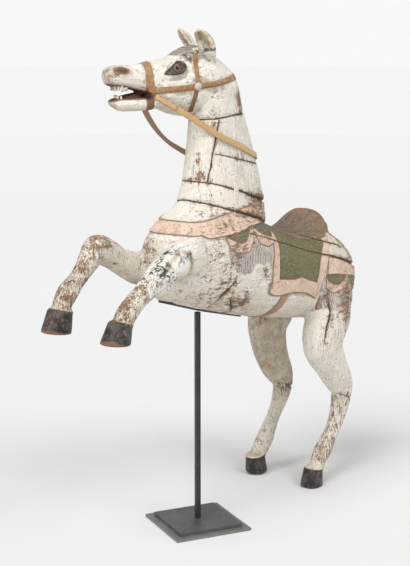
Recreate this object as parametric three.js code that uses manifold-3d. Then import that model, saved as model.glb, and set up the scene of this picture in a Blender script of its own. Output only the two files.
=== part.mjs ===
// Carousel horse: a rearing wooden ride horse carved in one piece, with a leather rein, an iron mending
// plate on its neck, and the steel stand that carries it. Millimetres, +Z up.
// +X is the way the horse's body faces and +Y is its left. The origin is on the floor at the post's axis.

import * as THREE from 'three';
import { mergeVertices } from 'three/addons/utils/BufferGeometryUtils.js';
import Module from 'manifold-3d';

const wasm = await Module();
wasm.setup();

// ---- driving dimensions -------------------------------------------------------------------------

const GAP = 0.3;

const LOWER_PLATE = { side: 240, thick: 8 };
const UPPER_PLATE = { side: 200, thick: 10 };
const PLATE_TURN = THREE.MathUtils.degToRad(-27);
const POST_SIDE = 14;

const CRADLE = { width: 46, thick: 7, bendX: -8, bendZ: 654, frontX: 150, frontZ: 703, backX: -182, backZ: 609 };

const HEAD = { x: -84, y: 2, z: 1362, turn: -28, nod: 8.5 };
const EAR = {
  length: 82, root: 36, up: 36, spread: 54, forward: 22, lean: 10, splay: 16, halfWidth: 27, halfDepth: 17,
  leftTurn: 46, rightTurn: 2,
};
const EYE = { along: 144, side: 64, up: 14, radius: 20 };
const ROSETTE = { along: 94, side: 72, up: -39, radius: 10 };

// The iron strip screwed over a neck joint, from its lower to its upper end on the wood's surface.
const MENDING_PLATE = { width: 17, thick: 4, sunk: 2, low: [-60, 95, 960], high: [-77, 82, 1055] };
const BIT_NAIL = { along: 236, side: 44, up: -42, radius: 5, sunk: 10, proud: 4, sides: 12 };

// The rein: a leather strap from one corner of the mouth, round the back of the neck, to the other.
const REIN_RADIUS = 4;
const REIN_STEPS = 56;
const REIN_ROUTE = [
  [125, -49, 1283],
  [66, -3, 1239],
  [8, 40, 1193],
  [-22, 63, 1169],
  [-60, 77, 1150],
  [-106, 82, 1131],
  [-151, 80, 1113],
  [-190, 69, 1101],
  [-222, 46, 1092],
  [-241, 16, 1087],
  [-243, -16, 1085],
  [-226, -46, 1086],
  [-192, -70, 1089],
  [-150, -84, 1092],
  [-110, -92, 1096],
  [-72, -96, 1106],
  [-38, -101, 1122],
  [0, -108, 1144],
  [34, -116, 1174],
  [60, -124, 1208],
  [76, -134, 1244],
  [76, -147, 1281],
];

// Sections of the body, from the buttocks to the chest: x, lowest z, highest z, half width.
const TRUNK = [
  [-730, 620, 700, 50],
  [-712, 580, 742, 86],
  [-672, 555, 784, 116],
  [-610, 542, 822, 136],
  [-520, 548, 848, 146],
  [-420, 564, 850, 148],
  [-300, 588, 876, 150],
  [-180, 613, 925, 148],
  [-60, 644, 965, 140],
  [30, 669, 975, 126],
  [95, 688, 950, 110],
  [147, 706, 918, 90],
  [178, 740, 886, 60],
];

// Sections of the neck, from the withers up: x, y, z, half depth fore and aft, half width.
const NECK = [
  [-80, 0, 850, 196, 108],
  [-106, 0, 930, 170, 102],
  [-112, 0, 1000, 148, 94],
  [-108, 0, 1055, 134, 85],
  [-102, 0, 1110, 121, 77],
  [-94, 0, 1170, 107, 69],
  [-86, 0, 1230, 93, 63],
  [-82, 0, 1285, 83, 59],
  [-82, 0, 1318, 70, 55],
  [-80, 0, 1338, 50, 46],
];

// Sections of the head along its own axis: distance from the poll, lowest, highest, half width.
const SKULL = [
  [-44, -92, -46, 40],
  [-30, -112, -12, 56],
  [6, -122, 30, 66],
  [56, -126, 52, 71],
  [108, -126, 57, 71],
  [150, -117, 51, 64],
  [195, -94, 48, 53],
  [228, -60, 45, 46],
];
const UPPER_JAW = [
  [185, -50, 47, 50],
  [225, -42, 45, 45],
  [262, -26, 46, 42],
  [294, -13, 50, 42],
  [318, -6, 52, 39],
  [334, -1, 48, 33],
  [341, 6, 38, 22],
];
const LOWER_JAW = [
  [175, -93, -40, 48],
  [216, -86, -47, 42],
  [254, -84, -45, 37],
  [284, -81, -40, 34],
  [312, -76, -37, 30],
  [328, -64, -37, 24],
  [338, -55, -41, 14],
];

// Sections of the limbs, from the body to the coronet: x, y, z, half depth, half width.
const NEAR_HIND_LEG = [
  [-562, 110, 650, 96, 36],
  [-540, 112, 575, 96, 56],
  [-504, 114, 518, 88, 60],
  [-498, 115, 472, 79, 55],
  [-530, 115, 425, 65, 47],
  [-567, 114, 375, 57, 42],
  [-610, 111, 328, 52, 35],
  [-624, 108, 286, 42, 31],
  [-616, 103, 232, 33, 27],
  [-598, 99, 186, 28, 24],
  [-574, 95, 148, 26, 23],
  [-548, 91, 115, 32, 27],
  [-527, 87, 82, 27, 26],
  [-511, 83, 54, 26, 26],
];
const FAR_HIND_LEG = [
  [-575, -110, 650, 100, 36],
  [-552, -112, 575, 98, 54],
  [-520, -114, 520, 90, 59],
  [-518, -115, 478, 77, 52],
  [-531, -115, 428, 71, 46],
  [-557, -115, 374, 62, 42],
  [-596, -116, 326, 52, 35],
  [-612, -117, 286, 41, 29],
  [-601, -119, 246, 33, 27],
  [-586, -121, 214, 26, 24],
  [-562, -125, 172, 23, 22],
  [-542, -129, 136, 28, 25],
  [-526, -132, 106, 33, 28],
  [-506, -135, 80, 27, 26],
  [-494, -138, 58, 26, 26],
];
const FAR_FORE_LEG = [
  [60, -88, 775, 60, 40],
  [130, -90, 784, 52, 46],
  [190, -90, 806, 44, 44],
  [250, -90, 836, 38, 38],
  [300, -90, 864, 40, 37],
  [338, -90, 876, 40, 36],
  [364, -90, 849, 33, 31],
  [390, -90, 822, 26, 27],
  [420, -90, 797, 25, 25],
  [448, -90, 775, 30, 29],
  [472, -90, 747, 27, 27],
  [484, -90, 724, 24, 25],
];
const NEAR_FORE_LEG = [
  [100, 84, 850, 62, 38],
  [155, 88, 848, 56, 42],
  [205, 90, 840, 48, 42],
  [250, 91, 828, 42, 40],
  [284, 91, 814, 39, 38],
  [312, 91, 796, 34, 33],
  [340, 91, 781, 30, 29],
  [368, 90, 765, 27, 27],
  [395, 90, 748, 29, 28],
  [418, 90, 728, 29, 29],
  [438, 90, 704, 26, 27],
];

// Each hoof from its coronet down to its sole, with the slope of the sole.
const HOOVES = [
  { coronet: [-502, 82, 60], sole: [-494, 81, 0], tip: 0, halfTop: 32, halfSole: 38 },
  { coronet: [-484, -138, 66], sole: [-492, -138, 6], tip: 0, halfTop: 32, halfSole: 38 },
  { coronet: [440, 90, 713], sole: [464, 90, 656], tip: 0.1, halfTop: 34, halfSole: 43 },
  { coronet: [481, -90, 730], sole: [500, -90, 669], tip: 0.12, halfTop: 35, halfSole: 43 },
];

// Sections of the saddle, front to back: x, highest z, half width.
const SADDLE = [
  [-362, 850, 40],
  [-396, 848, 64],
  [-434, 850, 78],
  [-470, 858, 84],
  [-502, 875, 85],
  [-534, 893, 83],
  [-564, 896, 78],
  [-590, 880, 66],
  [-605, 850, 48],
];
const SADDLE_FLOOR = 790;

// ---- closed lofts -------------------------------------------------------------------------------

// Smooth values between rows of numbers, passing through every row.
function spline(rows, steps) {
  const out = [];
  const last = rows.length - 1;
  for (let i = 0; i < last; i += 1) {
    const [a, b, c, d] = [rows[Math.max(i - 1, 0)], rows[i], rows[i + 1], rows[Math.min(i + 2, last)]];
    for (let k = 0; k < steps; k += 1) {
      const t = k / steps;
      const row = b.map((_, n) => catmullRom(a[n], b[n], c[n], d[n], t));
      out.push(row);
    }
  }
  out.push([...rows[last]]);
  return out;
}

function catmullRom(a, b, c, d, t) {
  const slopeIn = (c - a) / 2;
  const slopeOut = (d - b) / 2;
  const t2 = t * t;
  const t3 = t2 * t;
  return (2 * t3 - 3 * t2 + 1) * b + (t3 - 2 * t2 + t) * slopeIn + (3 * t2 - 2 * t3) * c + (t3 - t2) * slopeOut;
}

// One ring of a loft: a superellipse in the plane of the across and up vectors.
function ring(centre, across, up, halfAcross, halfUp, power, sides) {
  const points = [];
  const bend = (value) => Math.sign(value) * Math.abs(value) ** (2 / power);
  for (let k = 0; k < sides; k += 1) {
    const angle = (2 * Math.PI * k) / sides;
    const point = centre.clone();
    point.addScaledVector(across, halfAcross * bend(Math.cos(angle)));
    point.addScaledVector(up, halfUp * bend(Math.sin(angle)));
    points.push(point);
  }
  return points;
}

// Joins rings into a closed surface, with a fan on each end.
function skin(rings) {
  const sides = rings[0].length;
  const middle = (points) => points.reduce((sum, p) => sum.add(p), new THREE.Vector3()).divideScalar(sides);
  const vertices = rings.flat().concat([middle(rings[0]), middle(rings.at(-1))]);
  const startCap = rings.length * sides;
  const lastRing = (rings.length - 1) * sides;
  const faces = [];
  for (let k = 0; k < sides; k += 1) {
    const next = (k + 1) % sides;
    for (let row = 0; row < lastRing; row += sides) {
      faces.push(row + k, row + next, row + sides + next);
      faces.push(row + k, row + sides + next, row + sides + k);
    }
    faces.push(startCap, next, k);
    faces.push(startCap + 1, lastRing + k, lastRing + next);
  }
  return solid(vertices, faces);
}

function solid(vertices, faces) {
  const vertProperties = new Float32Array(vertices.flatMap((p) => [p.x, p.y, p.z]));
  const made = new wasm.Manifold(new wasm.Mesh({ numProp: 3, vertProperties, triVerts: new Uint32Array(faces) }));
  if (made.volume() > 0) {
    return made;
  }
  const turned = new Uint32Array(faces.length);
  for (let i = 0; i < faces.length; i += 3) {
    turned.set([faces[i], faces[i + 2], faces[i + 1]], i);
  }
  return new wasm.Manifold(new wasm.Mesh({ numProp: 3, vertProperties, triVerts: turned }));
}

function fromGeometry(geometry) {
  const plain = geometry.clone();
  plain.deleteAttribute('normal');
  plain.deleteAttribute('uv');
  const merged = mergeVertices(plain, 1e-4);
  const place = merged.attributes.position;
  const vertices = [];
  for (let i = 0; i < place.count; i += 1) {
    vertices.push(new THREE.Vector3().fromBufferAttribute(place, i));
  }
  return solid(vertices, [...merged.index.array]);
}

function toGeometry(shape) {
  const mesh = shape.getMesh();
  const geometry = new THREE.BufferGeometry();
  geometry.setAttribute('position', new THREE.BufferAttribute(new Float32Array(mesh.vertProperties), 3));
  geometry.setIndex(new THREE.BufferAttribute(new Uint32Array(mesh.triVerts), 1));
  geometry.computeVertexNormals();
  return geometry;
}

function joined(shapes) {
  return shapes.reduce((sum, shape) => sum.add(shape));
}

// A limb whose rings stand square to its spine: rows give the centre, half depth and half width.
function limb(rows, { steps = 2, sides = 14, power = 2 } = {}) {
  const fine = spline(rows, steps);
  const across = new THREE.Vector3(0, 1, 0);
  const rings = fine.map(([x, y, z, halfUp, halfAcross], i) => {
    const before = fine[Math.max(i - 1, 0)];
    const after = fine[Math.min(i + 1, fine.length - 1)];
    const up = new THREE.Vector3(before[2] - after[2], 0, after[0] - before[0]).normalize();
    return ring(new THREE.Vector3(x, y, z), across, up, halfAcross, halfUp, power, sides);
  });
  return skin(rings);
}

// A body whose rings all stand square to one axis: rows give place along it, lowest, highest, half width.
function column(rows, { steps = 2, sides = 20, power = 2, lay = (p) => p } = {}) {
  const across = lay(new THREE.Vector3(0, 1, 0)).sub(lay(new THREE.Vector3()));
  const up = lay(new THREE.Vector3(0, 0, 1)).sub(lay(new THREE.Vector3()));
  const rings = spline(rows, steps).map(([along, low, high, halfAcross]) => {
    const centre = lay(new THREE.Vector3(along, 0, (low + high) / 2));
    return ring(centre, across, up, halfAcross, (high - low) / 2, power, sides);
  });
  return skin(rings);
}

// ---- the horse ----------------------------------------------------------------------------------

const headTurn = new THREE.Euler(0, THREE.MathUtils.degToRad(HEAD.nod), THREE.MathUtils.degToRad(HEAD.turn), 'ZYX');

function onHead(point) {
  return point.clone().applyEuler(headTurn).add(new THREE.Vector3(HEAD.x, HEAD.y, HEAD.z));
}

function trunk() {
  return column(TRUNK, { steps: 2, sides: 26, power: 2.3 });
}

function neck() {
  return limb(NECK, { steps: 2, sides: 20, power: 2.3 });
}

function head() {
  const skull = column(SKULL, { steps: 2, sides: 20, power: 2.3, lay: onHead });
  const upperJaw = column(UPPER_JAW, { steps: 2, sides: 16, power: 2.4, lay: onHead });
  const lowerJaw = column(LOWER_JAW, { steps: 2, sides: 14, power: 2.4, lay: onHead });
  return joined([skull, upperJaw, lowerJaw, ear(1), ear(-1), eye(1), eye(-1), rosette(1), rosette(-1)]);
}

// How full the ear's outline is at a share t of its length, from its root to its rounded tip.
function earFullness(t) {
  return Math.sqrt(1 - t) * (0.62 + 1.6 * t);
}

// A pricked ear: a leaf with a hollow scooped from its front, each turned its own way towards the left.
function ear(side) {
  const turn = THREE.MathUtils.degToRad(side > 0 ? EAR.leftTurn : EAR.rightTurn);
  const across = new THREE.Vector3(-Math.sin(turn), Math.cos(turn), 0);
  const depth = new THREE.Vector3(Math.cos(turn), Math.sin(turn), 0);
  const section = (t, scale, shift, halfDeep) => {
    const centre = new THREE.Vector3(
      EAR.root + EAR.lean * t * t + EAR.forward * t,
      side * (EAR.spread + EAR.splay * t),
      EAR.up + EAR.length * t,
    );
    centre.addScaledVector(depth, shift);
    return ring(centre, across, depth, EAR.halfWidth * earFullness(t) * scale, halfDeep, 2, 12).map(onHead);
  };
  const leaf = skin([-0.2, 0, 0.2, 0.4, 0.6, 0.78, 0.9, 0.97, 0.995].map((t) => (
    section(t, 1, 0, EAR.halfDepth * earFullness(t))
  )));
  const scoop = skin([0.17, 0.32, 0.5, 0.68, 0.83, 0.92].map((t) => (
    section(t, 0.72, EAR.halfDepth * 1.05, EAR.halfDepth * 0.95)
  )));
  return leaf.subtract(scoop);
}

// Moves a geometry made in the head's own axes to its place on the horse.
function layOnHead(geometry) {
  const place = geometry.attributes.position;
  for (let i = 0; i < place.count; i += 1) {
    const point = onHead(new THREE.Vector3().fromBufferAttribute(place, i));
    place.setXYZ(i, point.x, point.y, point.z);
  }
  return fromGeometry(geometry);
}

function ball(along, side, up, radius, flat) {
  const geometry = new THREE.SphereGeometry(radius, 14, 9);
  geometry.scale(1, flat, 0.8);
  geometry.translate(along, side, up);
  return layOnHead(geometry);
}

function eye(side) {
  return ball(EYE.along, side * (EYE.side - 6), EYE.up, EYE.radius, 0.7);
}

function rosette(side) {
  return ball(ROSETTE.along, side * (ROSETTE.side - 4), ROSETTE.up, ROSETTE.radius, 0.75);
}

// A hoof: a short cone with a flat sole, between the coronet and the sole.
function hoof({ coronet, sole, tip, halfTop, halfSole }) {
  const across = new THREE.Vector3(0, 1, 0);
  const up = new THREE.Vector3(Math.cos(tip), 0, Math.sin(tip));
  const top = new THREE.Vector3(...coronet);
  const rings = [0, 0.5, 1].map((t) => {
    const centre = top.clone().lerp(new THREE.Vector3(...sole), t);
    const half = halfTop + (halfSole - halfTop) * t;
    return ring(centre, across, up, half * 0.92, half, 2.1, 18);
  });
  return skin(rings);
}

function saddle() {
  const rows = SADDLE.map(([x, high, half]) => [x, 2 * SADDLE_FLOOR - high, high, half]);
  return column(rows, { steps: 2, sides: 24, power: 2.6 });
}

function horse() {
  const body = joined([
    trunk(),
    neck(),
    head(),
    saddle(),
    ...[NEAR_HIND_LEG, FAR_HIND_LEG, NEAR_FORE_LEG, FAR_FORE_LEG].map((rows) => limb(rows)),
    ...HOOVES.map(hoof),
  ]);
  const recesses = [cradleSolid(GAP), mendingPlate(GAP), bitNail(1, GAP), bitNail(-1, GAP)];
  return recesses.reduce((wood, recess) => wood.subtract(recess), body);
}

// ---- leather and iron on the horse --------------------------------------------------------------

// The head of a nail that holds the rein, driven into the corner of the mouth.
function bitNail(side, swell) {
  const { along, side: out, up, radius, sunk, proud, sides } = BIT_NAIL;
  const geometry = new THREE.CylinderGeometry(radius + swell, radius + swell, sunk + proud + swell, sides);
  geometry.translate(0, (proud - sunk - swell) / 2, 0);
  geometry.scale(1, side, 1);
  geometry.translate(along, side * out, up);
  return layOnHead(geometry);
}

function mendingPlate(swell) {
  const low = new THREE.Vector3(...MENDING_PLATE.low);
  const high = new THREE.Vector3(...MENDING_PLATE.high);
  const tall = low.distanceTo(high) + 2 * swell;
  const geometry = new THREE.BoxGeometry(MENDING_PLATE.width + 2 * swell, MENDING_PLATE.thick + 2 * swell, tall);
  geometry.translate(0, MENDING_PLATE.thick / 2 - MENDING_PLATE.sunk, 0);
  const up = high.clone().sub(low).normalize();
  const across = new THREE.Vector3(1, 0, 0).addScaledVector(up, -up.x).normalize();
  const place = new THREE.Matrix4().makeBasis(across, up.clone().cross(across), up);
  place.setPosition(low.lerp(high, 0.5));
  geometry.applyMatrix4(place);
  return fromGeometry(geometry);
}

function rein() {
  const path = new THREE.CatmullRomCurve3(REIN_ROUTE.map((point) => new THREE.Vector3(...point)));
  const section = new THREE.Shape();
  section.absarc(0, 0, REIN_RADIUS, 0, 2 * Math.PI);
  return new THREE.ExtrudeGeometry(section, { steps: REIN_STEPS, curveSegments: 4, extrudePath: path });
}

// ---- the stand ----------------------------------------------------------------------------------

// The steel strap under the belly: two flat arms that rise from a bend at the post.
function cradleSolid(swell) {
  const half = CRADLE.width / 2 + swell;
  const low = -swell;
  const high = CRADLE.thick + swell;
  const outline = new THREE.Shape();
  outline.moveTo(CRADLE.frontX + swell, CRADLE.frontZ + low);
  outline.lineTo(CRADLE.frontX + swell, CRADLE.frontZ + high);
  outline.lineTo(CRADLE.bendX, CRADLE.bendZ + high);
  outline.lineTo(CRADLE.backX - swell, CRADLE.backZ + high);
  outline.lineTo(CRADLE.backX - swell, CRADLE.backZ + low);
  outline.lineTo(CRADLE.bendX, CRADLE.bendZ + low);
  outline.closePath();
  const geometry = new THREE.ExtrudeGeometry(outline, { depth: 2 * half, bevelEnabled: false });
  geometry.rotateX(Math.PI / 2);
  geometry.translate(0, half, 0);
  return fromGeometry(geometry);
}

function plate(side, thick, floor) {
  const geometry = new THREE.BoxGeometry(side, side, thick);
  geometry.translate(0, 0, floor + thick / 2);
  return geometry;
}

function post() {
  const foot = LOWER_PLATE.thick + UPPER_PLATE.thick + 2 * GAP;
  const top = CRADLE.bendZ - 1 - GAP;
  return plate(POST_SIDE, top - foot, foot);
}

// ---- materials ----------------------------------------------------------------------------------

const paintedWood = new THREE.MeshStandardMaterial({ color: 0xe3d9c8, roughness: 0.75, metalness: 0 });
const paintedIron = new THREE.MeshStandardMaterial({ color: 0xe2dbd2, roughness: 0.7, metalness: 0.1 });
const leather = new THREE.MeshStandardMaterial({ color: 0xcfae80, roughness: 0.6, metalness: 0 });
const blackSteel = new THREE.MeshStandardMaterial({ color: 0x1d1c1b, roughness: 0.5, metalness: 0.6 });
const greySteel = new THREE.MeshStandardMaterial({ color: 0x4d4b4a, roughness: 0.5, metalness: 0.7 });
const brownSteel = new THREE.MeshStandardMaterial({ color: 0x6f6e68, roughness: 0.6, metalness: 0.6 });

// ---- assembly -----------------------------------------------------------------------------------

const object = new THREE.Group();
const stand = new THREE.Group();
stand.rotation.z = PLATE_TURN;
object.add(stand);

function add(parent, name, geometry, material) {
  const mesh = new THREE.Mesh(geometry, material);
  mesh.name = name;
  parent.add(mesh);
}

add(stand, 'lower_base_plate', plate(LOWER_PLATE.side, LOWER_PLATE.thick, 0), brownSteel);
add(stand, 'upper_base_plate', plate(UPPER_PLATE.side, UPPER_PLATE.thick, LOWER_PLATE.thick + GAP), greySteel);
add(stand, 'post', post(), blackSteel);
add(object, 'cradle_strap', toGeometry(cradleSolid(0)), blackSteel);
add(object, 'horse', toGeometry(horse()), paintedWood);
add(object, 'neck_mending_plate', toGeometry(mendingPlate(0)), paintedIron);
add(object, 'bit_nail_left', toGeometry(bitNail(1, 0)), blackSteel);
add(object, 'bit_nail_right', toGeometry(bitNail(-1, 0)), blackSteel);
add(object, 'rein', rein(), leather);

export default object;
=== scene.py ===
"""A rearing carousel horse of old painted wood on its steel stand, dressed over the CAD frame.

The scene is in metres; the tables below are in millimetres, in the same frame.
"""
import math

import bpy
import numpy as np
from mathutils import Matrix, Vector


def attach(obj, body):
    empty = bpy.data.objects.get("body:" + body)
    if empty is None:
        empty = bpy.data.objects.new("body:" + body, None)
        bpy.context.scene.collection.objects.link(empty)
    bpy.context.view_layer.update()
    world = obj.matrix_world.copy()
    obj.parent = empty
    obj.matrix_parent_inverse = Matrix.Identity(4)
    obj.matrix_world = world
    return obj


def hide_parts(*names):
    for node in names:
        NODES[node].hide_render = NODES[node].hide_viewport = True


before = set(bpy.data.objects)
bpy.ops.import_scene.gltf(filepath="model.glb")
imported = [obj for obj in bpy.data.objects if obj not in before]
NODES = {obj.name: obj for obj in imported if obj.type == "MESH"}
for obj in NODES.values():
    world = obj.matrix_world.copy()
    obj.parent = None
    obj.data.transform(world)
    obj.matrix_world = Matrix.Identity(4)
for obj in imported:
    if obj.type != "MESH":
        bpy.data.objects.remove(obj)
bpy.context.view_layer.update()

MM = 0.001
VOXEL = 2.7
MOST_TRIANGLES = 186000
SMOOTH_ROUNDS = 36
MELT_ROUNDS = 150
STRAND = 7.5
CRACK_GROUPS = 3
OUTSIDE = -40.0
TUBE_SIDES = 10
BALL_SIDES = 16
LENS = 89
CAMERA_TURN = 52
CAMERA_PITCH = 11.2

# ---- where things are on the horse --------------------------------------------------------------

HEAD_ORIGIN = np.array([-84.0, 2.0, 1362.0])
HEAD_TURN = math.radians(-28)
HEAD_NOD = math.radians(8.5)

# The rein's centreline, from the near corner of the mouth round the neck to the far one.
REIN_ROUTE = [
    (125, -49, 1283), (66, -3, 1239), (8, 40, 1193), (-22, 63, 1169), (-60, 77, 1150), (-106, 82, 1131),
    (-151, 80, 1113), (-190, 69, 1101), (-222, 46, 1092), (-241, 16, 1087), (-243, -16, 1085),
    (-226, -46, 1086), (-192, -70, 1089), (-150, -84, 1092), (-110, -92, 1096), (-72, -96, 1106),
    (-38, -101, 1122), (0, -108, 1144), (34, -116, 1174), (60, -124, 1208), (76, -134, 1244),
    (76, -147, 1281),
]
REIN_WIDTH = 17
REIN_THICK = 3.2

# Painted shapes on the body, as outlines seen from the side: x and z.
GREEN = [
    [(-214, 980), (-218, 850), (-205, 790), (-203, 737), (-281, 725), (-318, 727), (-358, 711), (-404, 697),
     (-428, 757), (-456, 787), (-493, 812), (-450, 860), (-420, 980)],
    [(24, 891), (-26, 893), (-100, 903), (-76, 885), (-56, 869), (-34, 865), (-8, 876)],
    [(-114, 903), (-232, 905), (-221, 882), (-192, 864), (-157, 874), (-131, 887)],
    [(-456, 712), (-515, 706), (-584, 692), (-570, 677), (-540, 668), (-505, 674), (-466, 692)],
    [(-592, 690), (-690, 670), (-690, 630), (-646, 640), (-611, 662)],
]
PINK = [
    [(180, 905), (104, 901), (78, 889), (24, 891), (-26, 893), (-100, 903), (-114, 903), (-250, 905),
     (-250, 960), (-97, 962), (-24, 950), (36, 942), (79, 936), (104, 936), (190, 948)],
    [(24, 886), (-100, 901), (-109, 893), (-93, 864), (-64, 836), (-22, 836), (10, 850)],
    [(-106, 899), (-226, 890), (-224, 868), (-192, 845), (-157, 839), (-122, 852), (-110, 872)],
    [(-190, 980), (-196, 868), (-181, 826), (-170, 773), (-169, 730), (-166, 700), (-192, 686), (-225, 681),
     (-292, 682), (-355, 668), (-414, 642), (-430, 676), (-448, 712), (-480, 759), (-508, 792), (-560, 850),
     (-520, 980)],
    [(-478, 766), (-555, 749), (-720, 726), (-720, 680), (-642, 676), (-573, 687), (-464, 712)],
    [(-455, 712), (-584, 692), (-690, 665), (-690, 628), (-640, 640), (-583, 632), (-551, 650), (-505, 645),
     (-458, 668)],
    [(-600, 860), (-640, 790), (-672, 728), (-648, 726), (-615, 772), (-575, 835)],
]
FRINGE = [
    [(20, 866), (14, 822), (-14, 784), (-69, 773), (-75, 799), (-131, 799), (-174, 793), (-200, 828),
     (-226, 878), (-100, 880)],
    [(-446, 690), (-456, 614), (-468, 601), (-494, 594), (-542, 590), (-580, 598), (-640, 602), (-700, 640),
     (-640, 660), (-583, 655)],
]
PANEL = [(-505, 800), (-497, 771), (-589, 747), (-612, 770), (-596, 800), (-560, 850)]
GIRTH = [(-232, 684), (-262, 684), (-262, 648), (-262, 590), (-226, 590), (-228, 630)]
TASSEL = [(-434, 655), (-448, 636), (-459, 604), (-446, 598), (-436, 630)]
SEAT = [
    (-232, 925), (-240, 884), (-276, 866), (-304, 858), (-325, 845), (-377, 830), (-420, 822), (-477, 818),
    (-534, 822), (-572, 828), (-600, 846), (-640, 880), (-640, 1000),
    (-330, 1000), (-300, 930),
]

# Joints and cracks between the planks: the axis they run along, points (along, across), half width at each
# point, and the side of the horse they are on (0 is all round).
CRACKS = [
    ("x", [(-240, 1232), (-148, 1226), (-72, 1222), (-20, 1216), (60, 1209)], [2.6, 2.2, 1.6, 1.5, 1.3], 0),
    ("x", [(-300, 938), (-195, 971), (-59, 1015), (9, 1036), (80, 1052)], [4.4, 4.0, 1.8, 1.2, 1.1], 0),
    ("x", [(-600, 778), (-471, 815), (-395, 845), (-236, 896), (-119, 934), (-37, 957), (38, 984),
           (90, 1000)], [1.2, 1.5, 1.6, 2.4, 3.4, 1.9, 1.7, 1.4], 0),
    ("x", [(-740, 691), (-660, 715), (-500, 765), (-395, 792), (-236, 841), (-88, 887)],
     [4.2, 4.0, 1.9, 1.4, 1.2, 0.7], 0),
    ("z", [(1040, 9), (1100, -4), (1156, -19), (1212, -33)], [1.2, 1.3, 1.7, 1.4], 1),
    ("x", [(-210, 1074), (-184, 1078), (-78, 1102), (-15, 1117)], [1.1, 1.6, 1.1, 0.7], 1),
    ("z", [(500, -440), (546, -456), (571, -471), (591, -480), (622, -478)], [0.6, 3.4, 4.6, 3.2, 0.8], 1),
    ("z", [(688, 22), (717, 16), (736, 0), (756, -16)], [0.8, 2.2, 2.8, 1.4], 1),
    ("z", [(648, -82), (672, -52), (702, -20)], [0.8, 1.3, 0.8], 1),
]

# Soft grooves cut by the carver: the points of each, its half width and depth.
GROOVES = [
    ([(184, 806), (183, 836), (188, 860), (205, 871), (232, 866), (262, 852), (290, 830)], 7, 5.0),
    ([(170, 740), (120, 765), (80, 800), (76, 850), (110, 885)], 9, 3.0),
    ([(-440, 600), (-462, 640), (-500, 665), (-560, 668)], 10, 2.5),
    ([(-668, 264), (-630, 277), (-594, 291), (-556, 302)], 3.5, 3.5),
]

# Worn places: x, y, z, radius, and how far the paint has gone.
WORN = [
    (95, 100, 770, 90, 0.26), (30, 112, 745, 60, 0.22), (-60, 90, 690, 60, 0.20),
    (176, -35, 850, 50, 0.48), (150, -70, 900, 50, 0.25), (345, -88, 895, 50, 0.50),
    (300, -80, 890, 50, 0.30), (392, -90, 815, 45, 0.45), (470, -85, 755, 45, 0.40),
    (440, 90, 730, 40, 0.30), (400, 92, 745, 50, 0.30), (330, 95, 780, 50, 0.30),
    (-118, 58, 1285, 24, 0.80), (-132, 42, 1262, 24, 0.80), (19, 15, 1090, 16, 0.75),
    (16, 25, 1055, 18, 0.75), (-620, 108, 290, 50, 0.38), (-600, 110, 350, 55, 0.35),
    (-612, -118, 270, 60, 0.35), (-575, 95, 150, 55, 0.35), (-520, 88, 85, 40, 0.45),
    (-500, -136, 85, 40, 0.45), (-500, 165, 520, 60, 0.30), (-560, 150, 600, 60, 0.30),
    (-150, 95, 965, 50, 0.45), (-60, 100, 925, 45, 0.45), (30, 95, 925, 34, 0.45),
    (-20, 125, 850, 34, 0.50), (-640, 110, 740, 60, 0.20), (-170, 146, 740, 34, 0.40),
    (120, -60, 760, 70, 0.30), (-300, -140, 640, 120, 0.30), (-60, 20, 655, 150, 0.30),
    (-650, 0, 800, 90, 0.40), (0, -110, 740, 120, 0.30), (-230, 0, 985, 60, 0.45),
    (-210, 10, 1060, 40, 0.40), (200, 60, 1370, 30, 0.35), (214, -118, 1352, 26, 0.60),
    (60, 60, 975, 40, 0.40), (-78, 108, 688, 22, 0.75), (-138, 146, 773, 14, 1.0),
    (520, -90, 690, 40, 0.3), (56, 118, 860, 34, 0.40), (-640, 100, 640, 50, 0.20),
    (-455, 140, 640, 30, 0.5), (110, 40, 1050, 40, 0.5), (96, -60, 1120, 60, 0.5),
    (346, -90, 890, 70, 0.15), (408, -90, 815, 60, 0.28), (474, -90, 760, 40, 0.45),
    (-616, 110, 250, 50, 0.30), (-600, 110, 200, 50, 0.35), (-540, 95, 110, 50, 0.35),
    (-612, -118, 300, 50, 0.45), (-560, -120, 140, 60, 0.35), (-570, 140, 640, 60, 0.45),
    (-560, 150, 560, 50, 0.40), (-650, 90, 700, 60, 0.22), (-620, 60, 850, 60, 0.4),
    (-110, 118, 860, 50, 0.35), (-180, 60, 960, 60, 0.35), (130, 60, 940, 50, 0.35),
    (-100, 80, 1110, 40, 0.35), (-118, 60, 1250, 30, 0.5), (420, 95, 750, 50, 0.35),
    (360, 95, 800, 40, 0.35), (325, -10, 1330, 30, 0.3),
]
# The white patch on the near shoulder: x, y, z and radius.
BLOTCHES = [
    (200, 60, 880, 40), (222, 118, 864, 42), (262, 122, 842, 40), (300, 121, 818, 40), (335, 104, 815, 32),
    (345, 96, 800, 30),
]

# The bridle, in the head's own axes seen from the side (forward, up), with half widths.
BRIDLE = [
    ([(218, 60), (219, 44), (225, 4), (227, -37), (231, -65), (233, -120)], 10.5),
    ([(224, -31), (160, -37), (94, -39)], 8.5),
    ([(94, -39), (42, -42), (-3, -38), (-60, -30)], 8.5),
    ([(94, -39), (90, 4), (87, 30), (85, 47)], 6.0),
    ([(94, -39), (102, -56), (112, -84), (121, -122), (122, -140)], 6.5),
]
EYE = (146, 21)
LIDS = [
    ([(179, 49, 9), (163, 58, 31), (146, 61, 40), (128, 63, 37), (117, 66, 20)], [2, 3.6, 4.2, 3.6, 2.4]),
    ([(179, 49, 9), (163, 60, 2), (146, 65, 1), (128, 67, 6), (117, 66, 20)], [2, 2.8, 3, 3, 2.4]),
]
NOSTRIL = (295, 37)

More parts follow.
